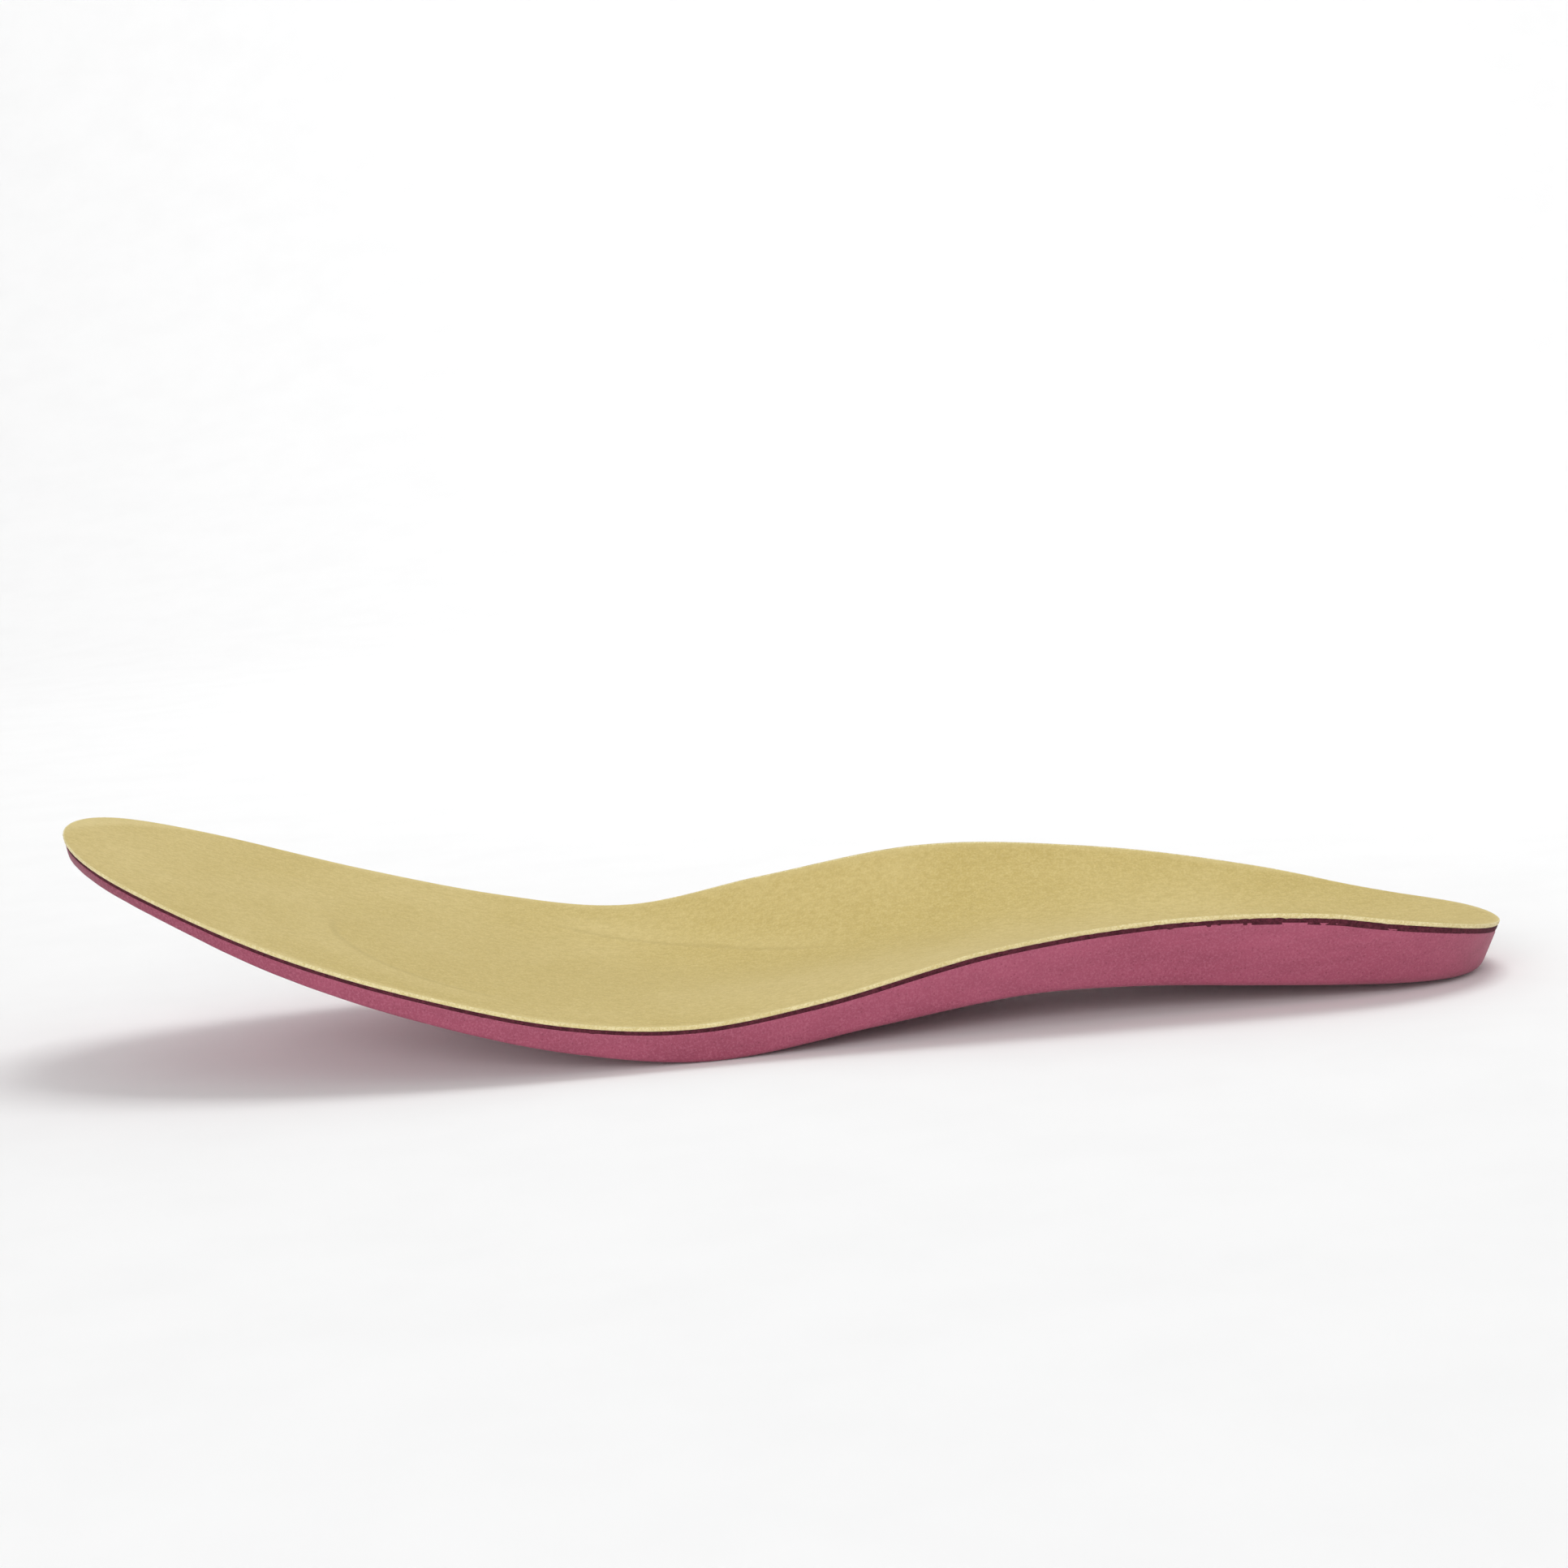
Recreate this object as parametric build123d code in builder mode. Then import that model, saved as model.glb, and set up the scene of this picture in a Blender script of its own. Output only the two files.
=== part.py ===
"""Cushioned insole for a left shoe, as an assembly of its layers.

Frame: millimetres, +Z up, the toe towards -X, the heel towards +X, the inner
(medial, arch) side towards +Y and the outer (lateral) side towards -Y. The origin
is under the middle of the insole, on the surface that it stands on with the ball
and the back edge of the heel.

The real insole is one foam moulding with one cover. Each layer is cut here along
the line where the ball of the foot bends, so that one hinge can stand for its flex.
"""

from build123d import *
import math
import os

# ---------------------------------------------------------------- driving sizes
LENGTH = 252.0
COVER_THICKNESS = 0.9
BACKING_THICKNESS = 0.7
INSERT_THICKNESS = 2.0
FOOT_AXIS_Y = 0.85  # the heel's centre line, beside the middle of the whole width
HINGE_GAP = 0.5
HINGE_X = -40.0  # the bending line on the foot axis
HINGE_SLANT = 0.25  # it runs towards the toe by this much for each mm of +Y

HALF_LENGTH = LENGTH / 2
TOE_CAP_X = -90.0  # the sides start to close round the toe here
HEEL_CAP_X = 98.0  # the sides start to close round the heel here

# Edge of the cover seen from above: (x, distance from the foot axis).
MEDIAL_EDGE = [
    (-122, 24),
    (-110, 33.3),
    (-90, 40),
    (-60, 43.6),
    (-30, 39),
    (0, 33),
    (30, 29.8),
    (60, 28.4),
    (90, 28.2),
    (110, 24.5),
    (121.5, 15.5),
]
LATERAL_EDGE = [
    (121.5, -15.5),
    (110, -24.7),
    (90, -28.7),
    (60, -31.7),
    (30, -36),
    (0, -41),
    (-38, -45.3),
    (-70, -41.7),
    (-95, -32.5),
    (-115, -18.2),
    (-123.5, -4),
]
TOE_POINT = (-HALF_LENGTH, 8.5)
HEEL_POINT = (HALF_LENGTH, 0)

# Lines of the shape along the length: (x, height above the floor).
MEDIAL_RIM = [
    (-126, 41.55),
    (-105, 33.95),
    (-80, 24.75),
    (-55, 17.95),
    (-32, 14.95),
    (-5, 19.35),
    (25, 23.65),
    (55, 21.75),
    (85, 15.85),
    (110, 9.95),
    (126, 7.55),
]
LATERAL_RIM = [
    (-126, 41.15),
    (-105, 32.95),
    (-80, 23.15),
    (-55, 15.25),
    (-30, 8.85),
    (-10, 6.75),
    (10, 8.85),
    (40, 14.75),
    (70, 16.95),
    (95, 15.55),
    (110, 12.85),
    (126, 8.95),
]
FOOTBED_MIDDLE = [
    (-126, 40.95),
    (-105, 32.75),
    (-80, 23.05),
    (-55, 15.15),
    (-30, 8.95),
    (-8, 6.75),
    (25, 10.15),
    (55, 11.75),
    (85, 9.75),
    (110, 7.75),
    (126, 6.75),
]
UNDERSIDE = [
    (-126, 38.15),
    (-105, 29.85),
    (-80, 19.05),
    (-55, 10.25),
    (-30, 3.3),
    (-8, 0.05),
    (20, 3.05),
    (45, 5.75),
    (62, 5.4),
    (70, 4.8),
    (79, 3.89),
    (92, 1.5),
    (115, -0.8),
    (126, -1.9),
]
# How far the underside climbs towards the inner edge, to carry the arch.
ARCH_RISE = [
    (-126, 0),
    (-105, 0.8),
    (-80, 1.5),
    (-55, 2.8),
    (-32, 6.2),
    (-5, 13.4),
    (25, 15.4),
    (52, 9),
    (75, 0.8),
    (82, 0),
    (126, 0),
]
# Half widths that the cupped cross-section is drawn over.
MEDIAL_WIDTH = [(-90, 40), (-60, 43.6), (-30, 39), (0, 33), (30, 29.8), (60, 28.4), (98, 27.8)]
LATERAL_WIDTH = [(-90, 35), (-60, 43.6), (-38, 45.3), (0, 41), (30, 36), (60, 31.7), (98, 27.8)]
FOOTBED_POWER = 2.2
UNDERSIDE_POWER = 2.6

# Side walls lean outwards as they rise: (x, slope of the lean).
WALL_LEAN = [(-126, 0.2), (-30, 0.22), (50, 0.3), (90, 0.36), (110, 0.45), (126, 0.47)]
WALL_LOW_Z = -6.0
WALL_HIGH_Z = 48.0

# The firm leaf under the arch, seen from above: (x, distance from the foot axis).
ARCH_LEAF = [
    (-15, 28.5),
    (-6, 30.2),
    (13, 29.4),
    (38, 27.6),
    (63, 26.2),
    (77.5, 23),
    (66, 14.6),
    (50, 8.6),
    (32, 6.4),
    (14, 9),
    (-2, 17),
    (-13, 25.5),
]

GRID_STEP = 12.0
GRID_HALF_LENGTH = 150.0
GRID_HALF_WIDTH = 60.0
CLEAR = 80.0  # long enough to pass right through the insole

# Flat pad under the heel: a plane that falls towards the heel and trims the underside,
# which runs lower behind the pad's front edge.
HEEL_PAD_FRONT_X = 76.0
HEEL_PAD_FRONT_Z = 4.16
HEEL_PAD_FALL = 0.09
HEEL_PAD_LENGTH = 60.0


# ---------------------------------------------------------------- shape formulas
def line_height(stations, x):
    """Height at x of the smooth line through the stations, straight past its ends."""
    slopes = []
    for (x0, z0), (x1, z1) in zip(stations, stations[1:]):
        slopes.append((z1 - z0) / (x1 - x0))
    tangents = [slopes[0]]
    for before, after in zip(slopes, slopes[1:]):
        tangents.append((before + after) / 2)
    tangents.append(slopes[-1])
    first_x, first_z = stations[0]
    last_x, last_z = stations[-1]
    if x <= first_x:
        return first_z + tangents[0] * (x - first_x)
    if x >= last_x:
        return last_z + tangents[-1] * (x - last_x)
    i = max(n for n, (station_x, _) in enumerate(stations[:-1]) if station_x <= x)
    (x0, z0), (x1, z1) = stations[i], stations[i + 1]
    span = x1 - x0
    u = (x - x0) / span
    start = (1 + 2 * u) * (1 - u) ** 2 * z0 + u * (1 - u) ** 2 * span * tangents[i]
    end = u**2 * (3 - 2 * u) * z1 + u**2 * (u - 1) * span * tangents[i + 1]
    return start + end


def across(x, y):
    """Place across the insole: 0 on the foot axis, 1 at the inner, -1 at the outer edge."""
    offset = y - FOOT_AXIS_Y
    inside = min(max(x, TOE_CAP_X), HEEL_CAP_X)
    width = MEDIAL_WIDTH if offset > 0 else LATERAL_WIDTH
    return offset / line_height(width, inside)


def to_edge(x, y):
    """0 in the middle of the footbed and 1 at its edge, round the toe and heel as well."""
    toe = max(TOE_CAP_X - x, 0) / (HALF_LENGTH + TOE_CAP_X)
    heel = max(x - HEEL_CAP_X, 0) / (HALF_LENGTH - HEEL_CAP_X)
    return math.hypot(across(x, y), toe, heel)


def rim_share(x, y):
    """0 on the outer side and 1 on the inner side, changing over smoothly between."""
    u = min(max((across(x, y) + 1) / 2, 0), 1)
    return u * u * (3 - 2 * u)


def rim_height(x, y):
    share = rim_share(x, y)
    return share * line_height(MEDIAL_RIM, x) + (1 - share) * line_height(LATERAL_RIM, x)


def footbed_height(x, y):
    """Top of the cover: a middle line that curls up to the rim all round."""
    middle = line_height(FOOTBED_MIDDLE, x)
    return middle + (rim_height(x, y) - middle) * to_edge(x, y) ** FOOTBED_POWER


def underside_height(x, y):
    """Underside of the foam: level across, and climbing under the arch."""
    climb = max(across(x, y), 0) ** UNDERSIDE_POWER
    return line_height(UNDERSIDE, x) + line_height(ARCH_RISE, x) * climb


def surface(height, drop=0.0):
    """Smooth face of the height formula, lowered by drop."""
    rows = []
    for i in range(int(2 * GRID_HALF_LENGTH / GRID_STEP) + 1):
        x = -GRID_HALF_LENGTH + i * GRID_STEP
        row = []
        for j in range(int(2 * GRID_HALF_WIDTH / GRID_STEP) + 1):
            y = -GRID_HALF_WIDTH + j * GRID_STEP
            row.append((x, y, height(x, y) - drop))
        rows.append(row)
    return Face.make_surface_from_array_of_points(rows, tol=0.02)


def edge_points():
    """Corners of the smooth outline of the cover, once round from the toe."""
    points = [TOE_POINT, *MEDIAL_EDGE, HEEL_POINT, *LATERAL_EDGE]
    return [(x, y + FOOT_AXIS_Y) for x, y in points]


def wall_outline(z):
    """The outline at height z of walls that lean outwards and meet the rim."""
    points = edge_points()
    moved = []
    for i, (x, y) in enumerate(points):
        before = points[i - 1]
        after = points[(i + 1) % len(points)]
        along_x = after[0] - before[0]
        along_y = after[1] - before[1]
        length = math.hypot(along_x, along_y)
        outset = (z - rim_height(x, y)) * line_height(WALL_LEAN, x)
        moved.append((x - outset * along_y / length, y + outset * along_x / length))
    return moved


# ---------------------------------------------------------------- shared shapes
cover_top = surface(footbed_height)
cover_bottom = surface(footbed_height, COVER_THICKNESS)
backing_bottom = surface(footbed_height, COVER_THICKNESS + BACKING_THICKNESS)
underside = surface(underside_height)
insert_top = surface(underside_height, -INSERT_THICKNESS)
heel_pad = Plane(
    origin=(HEEL_PAD_FRONT_X, FOOT_AXIS_Y, HEEL_PAD_FRONT_Z),
    x_dir=(1, 0, -HEEL_PAD_FALL),
    z_dir=(HEEL_PAD_FALL, 0, 1),
)

with BuildPart() as walls:
    with BuildSketch(Plane.XY.offset(WALL_LOW_Z)):
        with BuildLine():
            Spline(*wall_outline(WALL_LOW_Z), periodic=True)
        make_face()
    with BuildSketch(Plane.XY.offset(WALL_HIGH_Z)):
        with BuildLine():
            Spline(*wall_outline(WALL_HIGH_Z), periodic=True)
        make_face()
    loft(ruled=True)

# ---------------------------------------------------------------- whole layers
with BuildPart() as top_cover:
    add(walls.part)
    extrude(cover_top, amount=COVER_THICKNESS, dir=(0, 0, -1), mode=Mode.INTERSECT)

with BuildPart() as cover_backing:
    add(walls.part)
    extrude(cover_bottom, amount=BACKING_THICKNESS, dir=(0, 0, -1), mode=Mode.INTERSECT)

with BuildPart() as foam_blank:
    add(walls.part)
    extrude(backing_bottom, amount=CLEAR, dir=(0, 0, 1), mode=Mode.SUBTRACT)
    extrude(underside, amount=CLEAR, dir=(0, 0, -1), mode=Mode.SUBTRACT)
    with BuildSketch(heel_pad):
        Rectangle(HEEL_PAD_LENGTH, 2 * GRID_HALF_WIDTH, align=(Align.MIN, Align.CENTER))
    extrude(amount=-CLEAR, mode=Mode.SUBTRACT)

with BuildPart() as arch_insert:
    with BuildSketch(Plane.XY.offset(-CLEAR)):
        with BuildLine():
            Spline(*[(x, y + FOOT_AXIS_Y) for x, y in ARCH_LEAF], periodic=True)
        make_face()
    extrude(amount=2 * CLEAR)
    add(foam_blank.part, mode=Mode.INTERSECT)
    extrude(insert_top, amount=CLEAR, dir=(0, 0, 1), mode=Mode.SUBTRACT)

with BuildPart() as foam_base:
    add(foam_blank.part)
    add(arch_insert.part, mode=Mode.SUBTRACT)

# ------------------------------------------- the two sides of the bending line
bend_normal = Vector(-1, -HINGE_SLANT, 0).normalized()
toe_side = Plane(origin=(HINGE_X - HINGE_GAP / 2, FOOT_AXIS_Y, 0), x_dir=(0, 0, 1), z_dir=bend_normal)
heel_side = Plane(origin=(HINGE_X + HINGE_GAP / 2, FOOT_AXIS_Y, 0), x_dir=(0, 0, 1), z_dir=-bend_normal)


def cut_at_bend(layer, name):
    """The forefoot and rearfoot lengths of one layer, each a part of its own."""
    lengths = []
    for suffix, side in (("forefoot", toe_side), ("rearfoot", heel_side)):
        with BuildPart() as length:
            add(layer.part)
            split(bisect_by=side, keep=Keep.TOP)
        length.part.label = f"{name}_{suffix}"
        lengths.append(length.part)
    return lengths


pieces = cut_at_bend(top_cover, "top_cover")
pieces += cut_at_bend(cover_backing, "cover_backing")
pieces += cut_at_bend(foam_base, "foam_base")
arch_insert.part.label = "arch_insert"
pieces.append(arch_insert.part)

os.makedirs("parts", exist_ok=True)
for piece in pieces:
    export_step(piece, f"parts/{piece.label}.step")
    box = piece.bounding_box()
    print(piece.label, len(piece.solids()), round(piece.volume), box.min, box.max)
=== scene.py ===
"""Cushioned insole: cover, backing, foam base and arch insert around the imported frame.

Lengths in the shape section are millimetres in the frame's own axes: the toe towards
-X, the inner (arch) side towards +Y, +Z up. They become metres when a mesh is made.
"""

import math

import bmesh
import bpy
import numpy as np
from mathutils import Matrix, Vector
from mathutils.geometry import delaunay_2d_cdt


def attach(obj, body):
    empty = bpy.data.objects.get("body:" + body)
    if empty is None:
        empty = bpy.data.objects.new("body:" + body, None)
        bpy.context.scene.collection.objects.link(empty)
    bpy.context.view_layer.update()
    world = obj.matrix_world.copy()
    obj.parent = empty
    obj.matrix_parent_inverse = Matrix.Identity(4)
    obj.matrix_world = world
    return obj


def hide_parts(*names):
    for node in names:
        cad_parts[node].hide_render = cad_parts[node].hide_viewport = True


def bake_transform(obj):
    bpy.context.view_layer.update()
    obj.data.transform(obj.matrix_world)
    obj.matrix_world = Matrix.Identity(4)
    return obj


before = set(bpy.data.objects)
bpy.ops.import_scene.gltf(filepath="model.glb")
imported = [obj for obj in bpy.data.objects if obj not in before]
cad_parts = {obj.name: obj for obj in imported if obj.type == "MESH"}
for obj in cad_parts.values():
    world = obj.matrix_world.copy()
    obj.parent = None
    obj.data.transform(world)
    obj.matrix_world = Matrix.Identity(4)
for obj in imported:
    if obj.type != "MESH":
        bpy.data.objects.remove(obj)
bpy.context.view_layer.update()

MM = 0.001

# ------------------------------------------------------------------ driving sizes
FOOT_AXIS_Y = 0.85
HALF_LENGTH = 126.0
TOE_CAP_X = -90.0
HEEL_CAP_X = 98.0
COVER_THICKNESS = 0.75
BACKING_THICKNESS = 0.85
LAYERS = COVER_THICKNESS + BACKING_THICKNESS
FOOTBED_POWER = 2.2
UNDERSIDE_POWER = 2.6
HEX_SIDE = 4.22
# How finely curves and surfaces are made: points on an outline, steps between two of its
# given points, and the grid step of each filled surface.
OUTLINE_COUNT = 960
LEAF_COUNT = 300
CURVE_STEPS = 200
COVER_GRID = 2.2
BACKING_GRID = 4.0
FOOTBED_GRID = 4.0
RELIEF_GRID = 2.4
LEAF_GRID = 1.6
GRID_ROW_SHARE = 0.87
GRID_CLEARANCE = 0.55
SHEET_WELD = 0.005
BASE_WELD = 0.004
SHARP_DEGREES = 32

# Edge of the cover seen from above, once round from the toe: (x, offset from the axis).
EDGE = [
    (-126, 8.5), (-122, 24), (-110, 33.3), (-90, 40), (-60, 43.6), (-30, 39), (0, 33), (30, 29.8),
    (60, 28.4), (90, 28.2), (110, 24.5), (121.5, 15.5), (126, 0), (121.5, -15.5), (110, -24.7),
    (90, -28.7), (60, -31.7), (30, -36), (0, -41), (-38, -45.3), (-70, -41.7), (-95, -32.5),
    (-115, -18.2), (-123.5, -4),
]
# Lines of the shape along the length: (x, height).
MEDIAL_RIM = [
    (-126, 41.55), (-105, 33.95), (-80, 24.75), (-55, 17.95), (-32, 14.95), (-5, 19.35), (25, 23.65),
    (55, 21.75), (85, 15.85), (110, 9.95), (126, 7.55),
]
LATERAL_RIM = [
    (-126, 41.15), (-105, 32.95), (-80, 23.15), (-55, 15.25), (-30, 8.85), (-10, 6.75), (10, 8.85),
    (40, 14.75), (70, 16.95), (95, 15.55), (110, 12.85), (126, 8.95),
]
FOOTBED_MIDDLE = [
    (-126, 40.95), (-105, 32.75), (-80, 23.05), (-55, 15.15), (-30, 8.95), (-8, 6.75), (25, 10.15),
    (55, 11.75), (85, 9.75), (110, 7.75), (126, 6.75),
]
UNDERSIDE = [
    (-126, 38.15), (-105, 29.85), (-80, 19.05), (-55, 10.25), (-30, 3.3), (-8, 0.05), (20, 3.05),
    (45, 5.75), (62, 5.4), (70, 4.8), (80, 3.8), (115, 0.65), (126, -0.34),
]
ARCH_RISE = [
    (-126, 0), (-105, 0.8), (-80, 1.5), (-55, 2.8), (-32, 6.2), (-5, 13.4), (25, 15.4), (52, 9),
    (75, 0.8), (82, 0), (126, 0),
]
MEDIAL_WIDTH = [(-90, 40), (-60, 43.6), (-30, 39), (0, 33), (30, 29.8), (60, 28.4), (98, 27.8)]
LATERAL_WIDTH = [(-90, 35), (-60, 43.6), (-38, 45.3), (0, 41), (30, 36), (60, 31.7), (98, 27.8)]
WALL_LEAN = [(-126, 0.2), (-30, 0.22), (50, 0.3), (90, 0.36), (110, 0.45), (126, 0.47)]
# The firm leaf under the arch, seen from above: (x, offset from the axis).
ARCH_LEAF = [
    (-15, 28.5), (-6, 30.2), (13, 29.4), (38, 27.6), (63, 26.2), (77.5, 23), (66, 14.6),
    (50, 8.6), (32, 6.4), (14, 9), (-2, 17), (-13, 25.5),
]


# ------------------------------------------------------------------ shape formulas
def hermite(u, span, start, end, leaving, arriving):
    """Value a share u of the way along a cubic piece with these ends and end slopes."""
    first = (1 + 2 * u) * (1 - u) ** 2 * start + u * (1 - u) ** 2 * span * leaving
    last = u**2 * (3 - 2 * u) * end + u**2 * (u - 1) * span * arriving
    return first + last


def line_height(stations, x):
    """The smooth line through the stations at each x, straight past its ends."""
    x = np.asarray(x, float)
    sx, sz = np.array(stations, float).T
    slopes = np.diff(sz) / np.diff(sx)
    tangents = np.concatenate([slopes[:1], (slopes[1:] + slopes[:-1]) / 2, slopes[-1:]])
    i = np.clip(np.searchsorted(sx, x, side="right") - 1, 0, len(sx) - 2)
    span = sx[i + 1] - sx[i]
    u = np.clip((x - sx[i]) / span, 0, 1)
    past = np.minimum(x - sx[0], 0) * tangents[0] + np.maximum(x - sx[-1], 0) * tangents[-1]
    return hermite(u, span, sz[i], sz[i + 1], tangents[i], tangents[i + 1]) + past


def across(x, y):
    """Place across the footbed: -1 at the outer edge, 0 on the axis, 1 at the inner edge."""
    offset = y - FOOT_AXIS_Y
    inside = np.clip(x, TOE_CAP_X, HEEL_CAP_X)
    medial = line_height(MEDIAL_WIDTH, inside)
    lateral = line_height(LATERAL_WIDTH, inside)
    return offset / np.where(offset > 0, medial, lateral)


def to_edge(x, y):
    """Share of the way from the axis to the edge, with round ends at toe and heel."""
    toe = np.maximum(TOE_CAP_X - x, 0) / (HALF_LENGTH + TOE_CAP_X)
    heel = np.maximum(x - HEEL_CAP_X, 0) / (HALF_LENGTH - HEEL_CAP_X)
    return np.sqrt(across(x, y) ** 2 + toe**2 + heel**2)


def rim_height(x, y):
    """Height of the rim, blended from the outer line to the inner one."""
    u = np.clip((across(x, y) + 1) / 2, 0, 1)
    share = u * u * (3 - 2 * u)
    return share * line_height(MEDIAL_RIM, x) + (1 - share) * line_height(LATERAL_RIM, x)


def footbed_height(x, y):
    """Height of the top of the cover."""
    middle = line_height(FOOTBED_MIDDLE, x)
    return middle + (rim_height(x, y) - middle) * to_edge(x, y) ** FOOTBED_POWER


def underside_height(x, y):
    """Height of the foam underneath, before its relief."""
    climb = np.maximum(across(x, y), 0) ** UNDERSIDE_POWER
    return line_height(UNDERSIDE, x) + line_height(ARCH_RISE, x) * climb


def closed_curve(points, count):
    """count evenly spaced points on the smooth closed curve through the points."""
    p = np.array(points, float)
    n = len(p)
    after = np.roll(p, -1, axis=0)
    span = np.hypot(*(after - p).T)
    before = np.roll(span, 1)
    matrix = np.zeros((n, n))
    right = np.zeros((n, 2))
    for i in range(n):
        matrix[i, i - 1] = span[i]
        matrix[i, i] = 2 * (span[i] + before[i])
        matrix[i, (i + 1) % n] = before[i]
        chord_out = (after[i] - p[i]) / span[i]
        chord_in = (p[i] - p[i - 1]) / before[i]
        right[i] = 3 * (before[i] * chord_out + span[i] * chord_in)
    tangent = np.linalg.solve(matrix, right)
    dense = []
    u = np.linspace(0, 1, CURVE_STEPS, endpoint=False)[:, None]
    for i in range(n):
        j = (i + 1) % n
        dense.append(hermite(u, span[i], p[i], p[j], tangent[i], tangent[j]))
    dense = np.concatenate(dense)
    dense = np.vstack([dense, dense[:1]])
    run = np.concatenate([[0], np.cumsum(np.hypot(*np.diff(dense, axis=0).T))])
    wanted = np.linspace(0, run[-1], count, endpoint=False)
    return np.stack([np.interp(wanted, run, dense[:, k]) for k in range(2)], 1)


def outward(points):
    """Unit normals of a closed outline, pointing out of it."""
    along = np.roll(points, -1, axis=0) - np.roll(points, 1, axis=0)
    normal = np.stack([-along[:, 1], along[:, 0]], 1)
    normal /= np.hypot(*normal.T)[:, None]
    centre = points.mean(0)
    if ((points - centre) * normal).sum() < 0:
        normal = -normal
    return normal


def on_axis(points):
    """Points given from the foot axis, moved to the frame's own y."""
    return [(x, y + FOOT_AXIS_Y) for x, y in points]


# ------------------------------------------------------------------ mesh helpers
def new_piece(name, points_mm, faces, materials, smooth=True):
    """A mesh object from points in millimetres."""
    mesh = bpy.data.meshes.new(name)
    mesh.from_pydata([tuple(p) for p in np.asarray(points_mm) * MM], [], faces)
    mesh.validate()
    for material in materials:
        mesh.materials.append(material)
    mesh.polygons.foreach_set("use_smooth", [smooth] * len(mesh.polygons))
    mesh.update()
    piece = bpy.data.objects.new(name, mesh)
    bpy.context.scene.collection.objects.link(piece)
    return piece


def stacked_faces(rings, count):
    """Quads between each closed ring of vertices and the next, for rings numbered from 0."""
    faces = []
    for k in range(rings - 1):
        first, second = k * count, (k + 1) * count
        for i in range(count):
            j = (i + 1) % count
            faces.append((first + i, second + i, second + j, first + j))
    return faces


def shifted(triangles, first):
    """The same triangles with their vertices numbered from first."""
    return [tuple(first + i for i in t) for t in triangles]


def plan_grid(step):
    """Staggered grid of plan points over the whole footbed."""
    rows = np.arange(-46, 47, step * GRID_ROW_SHARE)
    columns = np.arange(-127, 128, step)
    return np.array([(x + (k % 2) * step / 2, y) for k, y in enumerate(rows) for x in columns])


def filled(boundary, height, step):
    """Points and triangles of a surface over a closed plan outline: the outline comes first."""
    grid = plan_grid(step)
    inset = boundary - outward(boundary) * step * GRID_CLEARANCE
    grid = grid[inside_polygon(grid, inset)]
    count = len(boundary)
    plan = [Vector(p) for p in np.vstack([boundary[:, :2], grid])]
    edges = [(i, (i + 1) % count) for i in range(count)]
    made, _, triangles, _, _, _ = delaunay_2d_cdt(plan, edges, [], 1, 1e-5)
    made = np.array([tuple(p) for p in made])
    centres = np.array([made[list(t)].mean(0) for t in triangles])
    inside = inside_polygon(centres, boundary[:, :2])
    points = np.column_stack([made, height(made[:, 0], made[:, 1])])
    return points, [t for t, ok in zip(triangles, inside) if ok]


def weld(piece, distance_mm):
    """Joins vertices that lie together, such as the two sides at the middle line."""
    bm = bmesh.new()
    bm.from_mesh(piece.data)
    bmesh.ops.remove_doubles(bm, verts=bm.verts, dist=distance_mm * MM)
    bmesh.ops.dissolve_degenerate(bm, edges=bm.edges, dist=distance_mm * MM)
    bmesh.ops.recalc_face_normals(bm, faces=bm.faces)
    bm.to_mesh(piece.data)
    bm.free()
    piece.data.update()


# Edge of a thin layer, from top to underside: (share of its rounding inwards, share of its
# thickness down).
LAYER_PROFILE = (
    (1.0, 0.0), (0.55, 0.03), (0.2, 0.13), (0.0, 0.32), (0.0, 0.7), (0.3, 0.94), (1.0, 1.0),
)


def layer_edge(outline, top_drop, thickness, edge_round, fray):
    """Rings round the edge of a thin layer under the footbed, from its top to its underside."""
    normal = outward(outline)
    lean = line_height(WALL_LEAN, outline[:, 0])
    rim = footbed_height(outline[:, 0], outline[:, 1]) - top_drop
    rings = []
    for inset, depth in LAYER_PROFILE:
        inwards = edge_round * inset + thickness * depth * lean - fray
        place = outline - normal * inwards[:, None]
        if depth in (0.0, 1.0):
            z = footbed_height(place[:, 0], place[:, 1]) - top_drop - thickness * depth
        else:
            z = rim - thickness * depth
        rings.append(np.column_stack([place, z]))
    return rings


def layer_piece(name, rings, top_drop, thickness, step, materials):
    """A closed thin layer: filled top and underside, joined by the rings round its edge."""
    count = len(rings[0])
    points = [np.concatenate(rings)]
    faces = stacked_faces(len(rings), count)
    on_edge = len(faces)
    first = len(points[0])
    for boundary, drop in ((rings[0], top_drop), (rings[-1], top_drop + thickness)):
        patch, triangles = filled(boundary[:, :2], lambda x, y: footbed_height(x, y) - drop, step)
        points.append(patch)
        faces += shifted(triangles, first)
        first += len(patch)
    piece = new_piece(name, np.concatenate(points), faces, materials)
    if len(materials) > 1:
        slots = [1] * on_edge + [0] * (len(faces) - on_edge)
        piece.data.polygons.foreach_set("material_index", slots)
    weld(piece, SHEET_WELD)
    return piece


def smooth_noise(count, waves, seed):
    """A closed run of gentle random values between about -1 and 1."""
    rng = np.random.default_rng(seed)
    angle = np.linspace(0, 2 * math.pi, count, endpoint=False)
    total = np.zeros(count)
    for wave in waves:
        total += np.sin(wave * angle + rng.uniform(0, 2 * math.pi)) * rng.uniform(0.5, 1)
    return total / math.sqrt(len(waves))


# ------------------------------------------------------------------ material helpers
def srgb(r, g, b):
    """Linear colour of an sRGB colour given as 0 to 255."""
    out = []
    for value in (r, g, b):
        v = value / 255
        out.append(v / 12.92 if v <= 0.04045 else ((v + 0.055) / 1.055) ** 2.4)
    return (*out, 1.0)


RANGE_SOCKETS = ("From Min", "From Max", "To Min", "To Max")


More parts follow.
